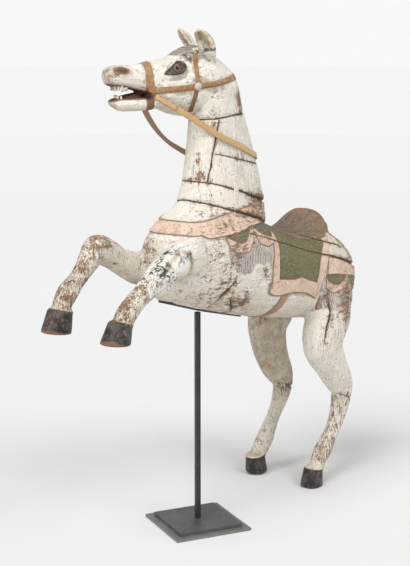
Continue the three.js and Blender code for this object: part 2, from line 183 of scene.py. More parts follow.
# Where the carver ran one form into the next.
MELTED = [
    ((135, 95, 865), 85), ((110, -95, 790), 85), ((-560, 150, 610), 80), ((-560, -150, 610), 80),
    ((-480, 120, 600), 60), ((-480, -120, 600), 60), ((-150, 60, 950), 60), ((-150, -60, 950), 60),
    ((60, 60, 960), 50),
]

HOOVES = [
    ((-502, 82, 60), (-494, 81, 0)), ((-484, -138, 66), (-492, -138, 6)),
    ((440, 90, 713), (464, 90, 656)), ((481, -90, 730), (500, -90, 669)),
]


# ---- small sums ---------------------------------------------------------------------------------


def ease(low, high, value):
    t = np.clip((value - low) / (high - low), 0, 1)
    return t * t * (3 - 2 * t)


def unit(rows):
    return rows / np.linalg.norm(rows, axis=1)[:, None]


def travel(line):
    """The length along a line at each of its points."""
    return np.concatenate([[0], np.cumsum(np.linalg.norm(np.diff(line, axis=0), axis=1))])


def soft_spots(p, spots):
    """Round soft spots added up, each given as x, y, z, radius and strength."""
    total = np.zeros(len(p))
    for *place, radius, strength in spots:
        away = (p - np.array(place)) / radius
        total += strength * np.exp(-(away**2).sum(1))
    return total


def catmull(points, steps):
    """Points along a smooth curve through the given ones."""
    p = np.array(points, float)
    p = np.vstack([2 * p[0] - p[1], p, 2 * p[-1] - p[-2]])
    out = []
    for i in range(1, len(p) - 2):
        for k in range(steps):
            t = k / steps
            a = 2 * p[i]
            b = (p[i + 1] - p[i - 1]) * t
            c = (2 * p[i - 1] - 5 * p[i] + 4 * p[i + 1] - p[i + 2]) * t * t
            d = (3 * p[i] - p[i - 1] - 3 * p[i + 1] + p[i + 2]) * t**3
            out.append((a + b + c + d) / 2)
    out.append(p[-2])
    return np.array(out)


def rotation(axis, angle):
    c, s = math.cos(angle), math.sin(angle)
    if axis == "z":
        return np.array([[c, -s, 0], [s, c, 0], [0, 0, 1.0]])
    return np.array([[c, 0, s], [0, 1.0, 0], [-s, 0, c]])


HEAD_AXES = rotation("z", HEAD_TURN) @ rotation("y", HEAD_NOD)


def to_head(p):
    return (p - HEAD_ORIGIN) @ HEAD_AXES


def from_head(p):
    return np.asarray(p, float) @ HEAD_AXES.T + HEAD_ORIGIN


def line_distance(points, u, v):
    """Distance from (u, v) to an open line."""
    best = np.full(u.shape, 1e9)
    for (ax, ay), (bx, by) in zip(points, points[1:]):
        dx, dy = bx - ax, by - ay
        t = np.clip(((u - ax) * dx + (v - ay) * dy) / (dx * dx + dy * dy), 0, 1)
        best = np.minimum(best, np.hypot(u - ax - t * dx, v - ay - t * dy))
    return best


def outline_depth(points, u, v):
    """How far (u, v) is inside a closed outline; negative outside."""
    edge = line_distance(list(points) + [points[0]], u, v)
    inside = np.zeros(u.shape, bool)
    for (ax, ay), (bx, by) in zip(points, list(points[1:]) + [points[0]]):
        if ay == by:
            continue
        crosses = (ay > v) != (by > v)
        inside ^= crosses & (u < (bx - ax) * (v - ay) / (by - ay) + ax)
    return np.where(inside, edge, -edge)


def deepest(outlines, u, v):
    return np.max([outline_depth(points, u, v) for points in outlines], axis=0)


LATTICE = np.random.default_rng(11).uniform(-1, 1, (32, 32, 32))


def lumps(p, size):
    """Smooth random values from -1 to 1 in lumps of that size."""
    q = p / size
    base = np.floor(q).astype(int)
    f = q - base
    f = f * f * (3 - 2 * f)
    total = np.zeros(len(p))
    for corner in range(8):
        step = np.array([corner & 1, corner >> 1 & 1, corner >> 2 & 1])
        i, j, k = ((base + step) % 32).T
        weight = np.prod(np.where(step, f, 1 - f), axis=1)
        total += weight * LATTICE[i, j, k]
    return total


# ---- meshes -------------------------------------------------------------------------------------


def link(obj):
    bpy.context.scene.collection.objects.link(obj)
    return obj


def mesh_object(name, vertices, faces):
    """An object from points in millimetres."""
    mesh = bpy.data.meshes.new(name)
    mesh.from_pydata((np.asarray(vertices, float) * MM).tolist(), [], [tuple(map(int, f)) for f in faces])
    mesh.validate()
    mesh.update()
    return link(bpy.data.objects.new(name, mesh))


def points_of(mesh):
    flat = np.empty(len(mesh.vertices) * 3, np.float32)
    mesh.vertices.foreach_get("co", flat)
    return flat.reshape(-1, 3).astype(float) / MM


def set_points(mesh, p):
    mesh.vertices.foreach_set("co", (p * MM).astype(np.float32).ravel())
    mesh.update()


def triangles_of(mesh):
    mesh.calc_loop_triangles()
    flat = np.empty(len(mesh.loop_triangles) * 3, np.int32)
    mesh.loop_triangles.foreach_get("vertices", flat)
    return flat.reshape(-1, 3)


def edges_of(mesh):
    flat = np.empty(len(mesh.edges) * 2, np.int32)
    mesh.edges.foreach_get("vertices", flat)
    return flat.reshape(-1, 2)


def normals_of(p, faces):
    a, b, c = p[faces[:, 0]], p[faces[:, 1]], p[faces[:, 2]]
    face = np.cross(b - a, c - a)
    out = np.zeros_like(p)
    for axis in range(3):
        for corner in range(3):
            out[:, axis] += np.bincount(faces[:, corner], face[:, axis], len(p))
    return out / np.maximum(np.linalg.norm(out, axis=1), 1e-9)[:, None]


def neighbour_mean(p, edges):
    a, b = edges.T
    count = np.maximum(np.bincount(a, None, len(p)) + np.bincount(b, None, len(p)), 1)
    total = [np.bincount(a, p[b, i], len(p)) + np.bincount(b, p[a, i], len(p)) for i in range(p.shape[1])]
    return np.array(total).T / count[:, None]


def tube(points, radii, up=(0, 0, 1)):
    """A tapering tube along points, closed at both ends: (vertices, faces)."""
    line = catmull(points, 5)
    share = np.linspace(0, 1, len(line))
    radius = np.interp(share, np.linspace(0, 1, len(radii)), radii)
    tangent = unit(np.gradient(line, axis=0))
    side = unit(np.cross(tangent, up))
    top = np.cross(side, tangent)
    angle = np.linspace(0, 2 * math.pi, TUBE_SIDES, endpoint=False)
    rings = [
        line[i] + radius[i] * (np.outer(np.cos(angle), side[i]) + np.outer(np.sin(angle), top[i]))
        for i in range(len(line))
    ]
    vertices = np.vstack(rings + [line[:1], line[-1:]])
    return vertices, loft_faces(len(line), TUBE_SIDES)


def loft_faces(rings, sides):
    faces = []
    last = (rings - 1) * sides
    for k in range(sides):
        n = (k + 1) % sides
        for row in range(0, last, sides):
            faces.append((row + k, row + n, row + sides + n, row + sides + k))
        faces.append((rings * sides, n, k))
        faces.append((rings * sides + 1, last + k, last + n))
    return faces


def ball(centre, radii):
    """A squashed ball: (vertices, faces)."""
    rows = np.linspace(-math.pi / 2, math.pi / 2, 11)[1:-1]
    angle = np.linspace(0, 2 * math.pi, BALL_SIDES, endpoint=False)
    rings = [
        np.stack([np.cos(angle) * math.cos(r), np.sin(angle) * math.cos(r), 0 * angle + math.sin(r)], 1)
        for r in rows
    ]
    vertices = np.vstack(rings + [[[0, 0, -1]], [[0, 0, 1]]]) * np.array(radii) + np.array(centre)
    return vertices, loft_faces(len(rows), BALL_SIDES)


def box(centre, size, turn=0.0):
    """A small box with cut corners, turned about the upright axis: (vertices, faces)."""
    half = np.array(size) / 2
    rings = []
    corners = [(1, 0.6), (0.6, 1), (-0.6, 1), (-1, 0.6), (-1, -0.6), (-0.6, -1), (0.6, -1), (1, -0.6)]
    for height, inset in ((-1, 0.75), (-0.7, 1), (0.7, 1), (1, 0.75)):
        for a, b in corners:
            rings.append([a * inset * half[0], b * inset * half[1], height * half[2]])
    vertices = np.vstack([rings, [[0, 0, -half[2]]], [[0, 0, half[2]]]])
    return vertices @ rotation("z", turn).T + np.array(centre), loft_faces(4, 8)


def gather(shapes):
    """One (vertices, faces) from several."""
    vertices, faces, start = [], [], 0
    for v, f in shapes:
        vertices.append(v)
        faces += [tuple(i + start for i in face) for face in f]
        start += len(v)
    return np.vstack(vertices), faces


# ---- the carved horse ---------------------------------------------------------------------------


def carved_extras():
    """Locks of hair, eyelids and the tongue, added to the head before it is made one skin."""
    shapes = []
    for y in (-40, -24, -8, 8, 24, 40):
        drop = abs(y) * 0.22
        line = [(22, y * 0.8, 44 - drop), (60, y, 60 - drop)]
        line += [(104, y * 0.8 + 3, 60 - drop), (148, y * 0.5, 52 - drop)]
        shapes.append(tube(line, [9, 12, 10, 3.5]))
    for side in (-1, 1):
        for x, low in ((86, 12), (95, 28), (106, 40)):
            line = [(x - 24, side * 26, 58), (x - 10, side * 42, 53)]
            line += [(x - 3, side * 53, 46), (x, side * 61, low)]
            shapes.append(tube(line, [8, 8, 6, 2.5], up=(1, 0, 0)))
        shapes.append(ball((EYE[0], side * 55, EYE[1]), (20, 13, 15)))
        for lid, radii in LIDS:
            line = [(x, side * y, z) for x, y, z in lid]
            shapes.append(tube(line, radii, up=(1, 0, 0.3)))
    shapes.append(ball((276, 0, -39), (42, 22, 7)))
    vertices, faces = gather(shapes)
    return from_head(vertices), faces


def teeth():
    """Two rows of teeth, each its own small block set in the jaws."""
    shapes = []
    for x, y, turn, long in (
        (322, 6, 0.15, 14), (320, 16, 0.5, 17), (313, 25, 1.0, 13), (304, 30, 1.4, 17), (294, 32, 1.5, 11)
    ):
        drop = float(np.interp(x, [262, 294, 318], [-26, -13, -6])) - 2
        for side in (-1, 1):
            shapes.append(box((x, side * y, drop), (5, 8, long), side * turn))
    for x, y, turn, long in ((318, 5, 0.2, 11), (315, 13, 0.6, 14), (308, 20, 1.1, 10)):
        for side in (-1, 1):
            shapes.append(box((x, side * y, -37), (5, 6, long), side * turn))
    vertices, faces = gather(shapes)
    return from_head(vertices), faces


def one_skin():
    """The CAD horse and the extras as one even skin."""
    horse = NODES["horse"]
    p, faces = points_of(horse.data), triangles_of(horse.data)
    vertices, all_faces = gather([(p, faces.tolist()), carved_extras()])
    rough = mesh_object("rough", vertices, all_faces)
    remesh = rough.modifiers.new("skin", "REMESH")
    remesh.mode = "VOXEL"
    remesh.voxel_size = VOXEL * MM
    skin = bpy.data.meshes.new_from_object(rough.evaluated_get(bpy.context.evaluated_depsgraph_get()))
    bpy.data.objects.remove(rough)
    return skin


def head_share(p):
    """1 on the head, falling to 0 below the throat."""
    q = to_head(p)
    return ease(-20, 30, q[:, 0]) * ease(1150, 1230, p[:, 2])


def smoothed(p, edges):
    """Melts the facets and the sharp inner corners, less on the head and the hooves."""
    pull = 0.5 - 0.42 * head_share(p)
    pull = np.where(near_hoof(p) > -4, 0.12, pull)
    q = to_head(p)
    pull = np.where((q[:, 2] > 60) & (np.abs(q[:, 1]) > 26) & (q[:, 0] < 100), 0.015, pull)
    strap_top = np.interp(p[:, 0], [-182, -8, 150], [616, 661, 710])
    on_strap = (np.abs(p[:, 2] - strap_top) < 9) & (np.abs(p[:, 1]) < 30) & (p[:, 0] > -192) & (p[:, 0] < 160)
    pull = np.where(on_strap, 0.02, pull)
    melt = np.zeros(len(p))
    for place, radius in MELTED:
        away = (p - np.array(place)) / radius
        melt = np.maximum(melt, np.exp(-(away**2).sum(1)))
    melt = 0.55 * np.where(on_strap, 0, melt)
    for i in range(MELT_ROUNDS):
        share = pull if i < SMOOTH_ROUNDS else melt
        p = p + share[:, None] * (neighbour_mean(p, edges) - p)
    return p


def near_hoof(p):
    """How far a point is below its coronet, in millimetres; negative above it."""
    best = np.full(len(p), -1e3)
    for top, sole in HOOVES:
        top, sole = np.array(top, float), np.array(sole, float)
        axis = (sole - top) / np.linalg.norm(sole - top)
        along = (p - top) @ axis
        away = np.linalg.norm(p - top - along[:, None] * axis, axis=1)
        best = np.where((away < 60) & (along > -60) & (along < 90), np.maximum(best, along), best)
    return best


def on_body(p):
    """True where the saddle cloth's shapes can lie: not on the legs or high on the neck."""
    low = np.interp(p[:, 0], [-740, -560, -440, 180], [560, 560, 520, 600])
    arm = (np.abs(p[:, 1]) > 60) & (p[:, 0] > 110) & (p[:, 2] < 885)
    return (p[:, 2] > low) & (p[:, 2] < 1010) & ~arm


def crack_fields(p):
    """For each crack, the signed distance across it and its half width, negative beyond its ends."""
    fields = []
    for axis, points, widths, side in CRACKS:
        along, across = (p[:, 0], p[:, 2]) if axis == "x" else (p[:, 2], p[:, 0])
        line = np.array(points, float)
        order = np.argsort(line[:, 0])
        line, half = line[order], np.array(widths)[order]
        middle = np.interp(along, line[:, 0], line[:, 1])
        slope = (line[-1, 1] - line[0, 1]) / (line[-1, 0] - line[0, 0])
        offset = (across - middle) / math.hypot(1, slope)
        width = np.interp(along, line[:, 0], half)
        beyond = np.maximum(line[0, 0] - along, along - line[-1, 0])
        width = width - np.maximum(beyond, 0) * 0.25
        if side:
            width = np.where(p[:, 1] * side < 10, -3, width)
        fields.append((offset + 1.2 * lumps(p, 22), width))
    return fields


def bridle_depth(q):
    """How far a point in the head's axes is inside a strap of the bridle."""
    depth = np.max([half - line_distance(line, q[:, 0], q[:, 2]) for line, half in BRIDLE], axis=0)
    return np.where(np.abs(q[:, 1]) > 95, -50, depth)


def eye_depth(q):
    """How far inside the eye's opening: an almond with its point to the front."""
    u, v = q[:, 0] - EYE[0], q[:, 2] - EYE[1]
    half = np.where(u < 0, np.sqrt(np.clip(1 - (u / 27) ** 2, 0, 1)), np.clip(1 - u / 34, 0, 1) ** 0.72)
    depth = np.minimum(17.5 * half - np.abs(v + 0.34 * np.maximum(u, 0)), np.minimum(u + 27, 34 - u))
    return np.where(np.abs(q[:, 1]) > 38, depth, -50)


def nostril_depth(q):
    u, v = q[:, 0] - NOSTRIL[0], q[:, 2] - NOSTRIL[1]
    a = math.radians(14)
    u, v = u * math.cos(a) + v * math.sin(a), v * math.cos(a) - u * math.sin(a)
    depth = 23 - np.sqrt(u * u + (v * 1.9) ** 2)
    return np.where((np.abs(q[:, 1]) > 12) & (q[:, 0] > 250), depth, -50)


def relief(p):
    """How far the carving stands out of the plain form, in millimetres."""
    q = to_head(p)
    x, z = p[:, 0], p[:, 2]
    head = head_share(p) > 0.4
    body = on_body(p)
    out = 0.8 * lumps(p, 46) + 0.35 * lumps(p, 15)
    green, pink = deepest(GREEN, x, z), deepest(PINK, x, z)
    fringe, seat = deepest(FRINGE, x, z), outline_depth(SEAT, x, z)
    cloth = np.maximum(green, pink)
    out += body * 2.2 * ease(-1.5, 2, cloth)
    out -= body * 1.3 * ease(-1, 1.5, green) * (seat < 0)
    out += body * 1.2 * np.exp(-((green + 2.5) / 2.2) ** 2)
    out += body * 1.0 * np.exp(-((cloth - 2.5) / 2.0) ** 2)
    strands = np.abs(np.sin((x + 5 * lumps(p, 30)) * math.pi / STRAND))
    out += body * ease(-1, 2, fringe) * ease(-1, 2, -pink) * (0.6 + 2.0 * strands)
    out += body * 1.6 * ease(0, 2.5, outline_depth(GIRTH, x, z))
    out += 3.0 * (p[:, 1] > 60) * ease(0, 5, outline_depth(TASSEL, x, z))
    for line, half, depth in GROOVES:
        out -= depth * np.exp(-(line_distance(line, x, z) / half) ** 2) * (np.abs(p[:, 1]) > 60)
    for offset, width in crack_fields(p):
        out -= np.clip(width, 0, 4) * 1.5 * (1 - ease(0.6, 2.4, np.abs(offset) - width))
    out += (z > 1235) * 2.2 * ease(-1.2, 1.2, bridle_depth(q)) * (q[:, 0] > -75) * (q[:, 2] < 70)
    nostril = nostril_depth(q)
    out += head * (2.2 * np.exp(-((nostril + 1) / 4) ** 2) - 7.5 * ease(0, 11, nostril))
    eye = eye_depth(q)
    out -= head * 2.6 * np.exp(-((eye + 16) / 8) ** 2)
    crest = line_distance([(120, -22), (175, -14), (214, -8)], q[:, 0], q[:, 2])
    out += head * 2.4 * np.exp(-(crest / 11) ** 2) * (np.abs(q[:, 1]) > 30)
    hair = hair_depth(p, q)
    out += ease(0, 4, hair) * 1.1 * np.sin((q[:, 1] + 0.5 * q[:, 0]) * 1.1 + 3 * lumps(p, 30))
    hoof = near_hoof(p)
    out += 1.5 * np.exp(-((hoof - 1) / 3.5) ** 2)
    return out


def hair_depth(p, q):
    """How far inside the forelock, which lies on the forehead and down beside the eyes."""
    reach = np.interp(np.abs(q[:, 1]), [0, 20, 40, 52, 60, 70], [152, 146, 128, 112, 100, 90])
    low = np.interp(q[:, 0], [24, 78, 85, 92, 100, 115, 137, 160], [50, 46, 8, 26, 40, 48, 53, 55])
    depth = np.minimum(np.minimum(reach - q[:, 0], q[:, 2] - low), q[:, 0] - 24)
    ear = (q[:, 2] > 60) & (np.abs(q[:, 1]) > 32) & (q[:, 0] < 84)
    return np.where(ear | (q[:, 2] > 84) | (p[:, 2] < 1300), -50, depth)


def thinned(mesh):
    """The mesh with few enough triangles, most of them on the head and along the carving."""
    obj = link(bpy.data.objects.new("thinned", mesh))
    cut = obj.modifiers.new("cut", "DECIMATE")
    cut.ratio = MOST_TRIANGLES / len(triangles_of(mesh))
    out = bpy.data.meshes.new_from_object(obj.evaluated_get(bpy.context.evaluated_depsgraph_get()))
    bpy.data.objects.remove(obj)
    return out


def add_values(mesh, name, values):
    kind = "FLOAT" if values.ndim == 1 else "FLOAT_VECTOR"
    layer = mesh.attributes.new(name, kind, "POINT")
    layer.data.foreach_set("value" if kind == "FLOAT" else "vector", values.astype(np.float32).ravel())


def kept(depth, where):
    """A depth to store: clipped, and outside wherever the shape cannot lie."""
    return np.where(where, np.clip(depth, OUTSIDE, -OUTSIDE), OUTSIDE)


def cloth_maps(mesh, p):
    x, _, z = p.T
    body = on_body(p)
    add_values(mesh, "green", kept(deepest(GREEN, x, z), body & ~((x < -440) & (z > 830))))
    add_values(mesh, "pink", kept(deepest(PINK, x, z), body))
    add_values(mesh, "fringe", kept(deepest(FRINGE, x, z), body))
    trim = np.maximum(outline_depth(GIRTH, x, z), outline_depth(TASSEL, x, z) - 1)
    add_values(mesh, "trim", kept(trim, z > 580))
    add_values(mesh, "panel", kept(outline_depth(PANEL, x, z), body))
    add_values(mesh, "seat", kept(outline_depth(SEAT, x, z), z > 800))


def head_maps(mesh, p, q, n):
    z = p[:, 2]
    head = head_share(p) > 0.4
    forward, aside, up = q.T
    add_values(mesh, "strand", aside + 0.5 * forward + 2.7 * lumps(p, 30))
    add_values(mesh, "bridle", kept(bridle_depth(q), (z > 1235) & (forward > -75) & (up < 64)))
    add_values(mesh, "hair", kept(hair_depth(p, q), z > 1240))
    add_values(mesh, "eye", kept(eye_depth(q), head))
    from_eye = np.stack([forward - EYE[0] - 1, up - EYE[1] - 1, np.zeros(len(p))], 1)
    add_values(mesh, "eye_at", from_eye)
    add_values(mesh, "nostril", kept(nostril_depth(q), head))
    add_values(mesh, "mouth", kept(mouth_depth(q), head))
    add_values(mesh, "ear", kept(ear_depth(q, n), (up > 68) & (np.abs(aside) > 36) & (forward < 92)))
    add_values(mesh, "rosette", kept(11 - np.hypot(forward - 94, up + 39), head))


def crack_maps(mesh, p):
    """The cracks' fields, three to a vector."""
    fields = crack_fields(p)
    for i in range(CRACK_GROUPS):
        group = fields[3 * i : 3 * i + 3]
        offsets = [np.clip(offset, OUTSIDE, -OUTSIDE) for offset, _ in group]
        widths = [np.clip(width, -4, 6) for _, width in group]
        add_values(mesh, f"crack_{i}", np.stack(offsets, 1))
        add_values(mesh, f"crack_wide_{i}", np.stack(widths, 1))


def wear_maps(mesh, p, n):
    edges = edges_of(mesh)
    hollow = ((neighbour_mean(p, edges) - p) * n).sum(1)
    for _ in range(3):
        hollow = 0.5 * hollow + 0.5 * neighbour_mean(hollow[:, None], edges)[:, 0]
    edge_wear = np.clip(-hollow * 2.2 - 0.25, 0, 1)
    worn = soft_spots(p, WORN) + 0.25 * edge_wear + 0.10 * lumps(p, 70)
    add_values(mesh, "worn", np.clip(worn, 0, 1))
    # the hollows of the carving, later darkened with soiling and painted shade
    add_values(mesh, "hollow", np.clip(hollow * 3.0, -1, 1))


def grime_and_shade(p, q, n):
    """Where the paint is darker: along the shoulder groove, soiled on the nose and the feet, painted shade
    under the belly, and painted shade with brown staining on the far side.
    """
    x, y, z = p.T
    line, half, _ = GROOVES[0]
    groove = np.exp(-(line_distance(line, x, z) / (half * 1.3)) ** 2) * (y > 60)
    # painted shade with brown staining on the far hind quarter and the far legs
    behind = 0.8 * ease(-20, -60, y) * ease(-380, -440, x) * ease(200, 420, z) * ease(690, 640, z)
    far_legs = 0.3 * ease(-20, -60, y) * ease(900, 820, z)
    # painted shade: faces turned downward under the belly are darkened
    under = 0.7 * ease(0.2, 1.0, -n[:, 2]) * (z > 560)
    nose = 0.8 * ease(318, 336, q[:, 0]) * (z > 1200)
    fetlocks = 0.5 * ease(-25, -4, near_hoof(p))
    return np.clip(groove + under + behind + far_legs + nose + fetlocks, 0, 1)


def paint_maps(mesh, teeth_from):
    """Stores, at every point, where the painted shapes, joints and worn places are."""
    p = points_of(mesh)
    n = normals_of(p, triangles_of(mesh))
    q = to_head(p)
    cloth_maps(mesh, p)
    head_maps(mesh, p, q, n)
    add_values(mesh, "hoof", np.clip(near_hoof(p), OUTSIDE, 80))
    crack_maps(mesh, p)
    wear_maps(mesh, p, n)
    # soiling, with painted shade under the belly and on the far side
    add_values(mesh, "grime_and_shade", grime_and_shade(p, q, n))
    blotch = soft_spots(p, [(*place, 1.0) for place in BLOTCHES])
    add_values(mesh, "blotch", np.clip(blotch, 0, 1))
    add_values(mesh, "grain", grain_place(p, q))
    is_tooth = np.zeros(len(p))
    is_tooth[teeth_from:] = 1
    add_values(mesh, "tooth", is_tooth)


def mouth_depth(q):
    """How far inside the open mouth, between the lips."""
    top = np.interp(q[:, 0], [225, 262, 294, 318, 336], [-40, -25, -12, -5, 0])
    low = np.interp(q[:, 0], [216, 254, 284, 312, 330], [-49, -46, -42, -38, -40])
    wide = np.interp(q[:, 0], [225, 262, 300, 320, 340], [52, 48, 46, 42, 34])
    inside = np.minimum(top + 4 - q[:, 2], q[:, 2] - low + 3)
    depth = np.minimum(inside, wide - np.abs(q[:, 1]))
    return np.minimum(depth, q[:, 0] - 226)


def ear_depth(q, n):
    """How far inside the ear's scooped front."""
    turn = np.where(q[:, 1] > 0, math.radians(46), math.radians(2))
    outward = np.stack([np.cos(turn), np.sin(turn), np.zeros(len(q))], 1)
    local = n @ HEAD_AXES
    facing = (local * outward).sum(1)
    return (facing - 0.25) * 12


def grain_place(p, q):
    """A place for the grain: stretched along the wood of each part."""
    body = p * np.array([0.12, 1.0, 1.0])
    upright = p * np.array([1.0, 1.0, 0.12])
    head = q * np.array([0.2, 1.0, 1.0])
    legs = (p[:, 2] < 560) | ((p[:, 0] > 190) & (p[:, 2] < 930))
    neck = (p[:, 2] > 990) & ~legs
    out = np.where((legs | neck)[:, None], upright, body)
    return np.where((head_share(p) > 0.5)[:, None], head + 500, out)


def build_horse():
    skin = one_skin()
    edges, faces = edges_of(skin), triangles_of(skin)
    p = smoothed(points_of(skin), edges)
    p = p + 0.7 * normals_of(p, faces) * (1 - head_share(p))[:, None]
    p = p + normals_of(p, faces) * relief(p)[:, None]
    p[:, 2] = np.maximum(p[:, 2], 0.2)
    set_points(skin, p)
    skin = thinned(skin)
    vertices, tooth_faces = teeth()
    body = points_of(skin)
    shapes = [(body, triangles_of(skin).tolist()), (vertices, tooth_faces)]
    horse = mesh_object("carved_horse", *gather(shapes))
    paint_maps(horse.data, len(body))
    horse.data.shade_smooth()
    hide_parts("horse")
    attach(horse, "root")
    return horse


# ---- the rein -----------------------------------------------------------------------------------


def strap(line, face_to, width, thick, lift=0.0):
    """A flat strap along line, its broad side facing face_to: (vertices, faces, along, across)."""
    tangent = unit(np.gradient(line, axis=0))
    out = unit(face_to - (face_to * tangent).sum(1)[:, None] * tangent)
    wide = np.cross(tangent, out)
    profile = [(-1, -0.4), (-0.94, -1), (-0.4, -1), (0.4, -1), (0.94, -1), (1, -0.4), (1, 0.4), (0.94, 0.9),
               (0.4, 1.1), (-0.4, 1.1), (-0.94, 0.9), (-1, 0.4)]
    travelled = travel(line)
    rings, along, across = [], [], []
    for i, centre in enumerate(line):
        for a, b in profile:
            rings.append(centre + wide[i] * a * width / 2 + out[i] * (b * thick / 2 + lift))
            along.append(travelled[i])
            across.append(a)
    vertices = np.vstack([rings, line[:1] + out[:1] * lift, line[-1:] + out[-1:] * lift])
    along += [0, travelled[-1]]
    across += [0, 0]
    return vertices, loft_faces(len(line), len(profile)), along, across


def build_rein():
    line = catmull(REIN_ROUTE, 10)
    travelled = travel(line)
    around = line - np.array([-96.0, 0.0, 0.0])
    around[:, 2] = 0
    around = unit(around)
    cheek = HEAD_AXES[:, 1]
    start = ease(30, 190, travelled)[:, None]
    end = ease(30, 200, travelled[-1] - travelled)[:, None]
    face_to = cheek * (1 - start) - cheek * (1 - end) + around * start * end
    vertices, faces, along, across = strap(line, face_to, REIN_WIDTH, REIN_THICK)
    fold = strap(line[:9], face_to[:9], REIN_WIDTH * 0.92, REIN_THICK * 0.8, REIN_THICK * 0.95)
    both, all_faces = gather([(vertices, faces), fold[:2]])
    rein = mesh_object("rein_strap", both, all_faces)
    add_values(rein.data, "along", np.array(along + fold[2], float))
    add_values(rein.data, "across", np.array(across + fold[3], float))
    rein.data.shade_smooth()
    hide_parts("rein")
    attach(rein, "root")
    return rein


# ---- materials ----------------------------------------------------------------------------------


def colour(tone):
    """A tone as it looks on a screen, 0 to 255, made a shader colour; a socket stays as it is."""
    if not isinstance(tone, tuple):
        return tone
    values = [v / 255 for v in tone]
    return tuple(v / 12.92 if v <= 0.04045 else ((v + 0.055) / 1.055) ** 2.4 for v in values) + (1.0,)


class Paint:
    """Builds a node material with short calls, laying each layer over self.base."""

    def __init__(self, name):
        self.material = bpy.data.materials.new(name)
        self.material.use_nodes = True
        self.nodes = self.material.node_tree.nodes
        self.links = self.material.node_tree.links
        self.shader = self.nodes["Principled BSDF"]
        self.base = None

    def node(self, kind, inputs=None, **settings):
        node = self.nodes.new(kind)
        for key, value in settings.items():
            setattr(node, key, value)
        for key, value in (inputs or {}).items():
            self.plug(node.inputs[key], value)
        return node

    def plug(self, socket, value):
        if hasattr(value, "is_linked"):
            self.links.new(value, socket)
        elif value is not None:
            socket.default_value = value

    def math(self, operation, a, b=None, c=None):
        node = self.node("ShaderNodeMath", operation=operation)
        for socket, value in zip(node.inputs, (a, b, c)):
            self.plug(socket, value)
        return node.outputs[0]

    def add(self, a, b):
        return self.math("ADD", a, b)

    def mul(self, a, b):
        return self.math("MULTIPLY", a, b)

    def mad(self, a, b, c):
        return self.math("MULTIPLY_ADD", a, b, c)

    def most(self, a, b):
        return self.math("MAXIMUM", a, b)

    def size(self, a):
        return self.math("ABSOLUTE", a)

    def rest(self, a):
        return self.math("SUBTRACT", 1.0, a)

    def vector_math(self, operation, a, b=None):
        return self.node("ShaderNodeVectorMath", {0: a, 1: b}, operation=operation)

    def value(self, name):
        return self.node("ShaderNodeAttribute", attribute_name=name).outputs["Fac"]

    def vector(self, name):
        return self.node("ShaderNodeAttribute", attribute_name=name).outputs["Vector"]

    def parts(self, vector):
        return self.node("ShaderNodeSeparateXYZ", {0: vector}).outputs

    def place(self):
        return self.node("ShaderNodeTexCoord").outputs["Object"]

    def noise(self, scale, detail=4.0, rough=0.55, vector=None, distort=0.0):
        inputs = {"Vector": vector, "Scale": scale, "Detail": detail, "Roughness": rough}
        inputs["Distortion"] = distort
        return self.node("ShaderNodeTexNoise", inputs).outputs["Fac"]

    def step(self, value, low, high, start=0.0, end=1.0):
        inputs = {"Value": value, "From Min": low, "From Max": high, "To Min": start, "To Max": end}
        node = self.node("ShaderNodeMapRange", inputs, interpolation_type="SMOOTHSTEP")
        return node.outputs["Result"]

    def mix(self, share, a, b, blend="MIX"):
        node = self.node("ShaderNodeMix", data_type="RGBA", blend_type=blend)
        self.plug(node.inputs[0], share)
        self.plug(node.inputs[6], colour(a))
        self.plug(node.inputs[7], colour(b))
        return node.outputs[2]

    def over(self, share, tone, blend="MIX"):
        """Lays a tone over what is there."""
        self.base = self.mix(share, self.base, tone, blend)

    def finish(self, rough, height=None, distance=0.001, metal=0.0, specular=0.5):
        self.plug(self.shader.inputs["Base Color"], colour(self.base))
        self.plug(self.shader.inputs["Roughness"], rough)
        self.plug(self.shader.inputs["Metallic"], metal)
        self.plug(self.shader.inputs["Specular IOR Level"], specular)
        if height is not None:
            bump = self.node("ShaderNodeBump", {"Height": height, "Strength": 1.0, "Distance": distance})
            self.links.new(bump.outputs[0], self.shader.inputs["Normal"])
        return self.material


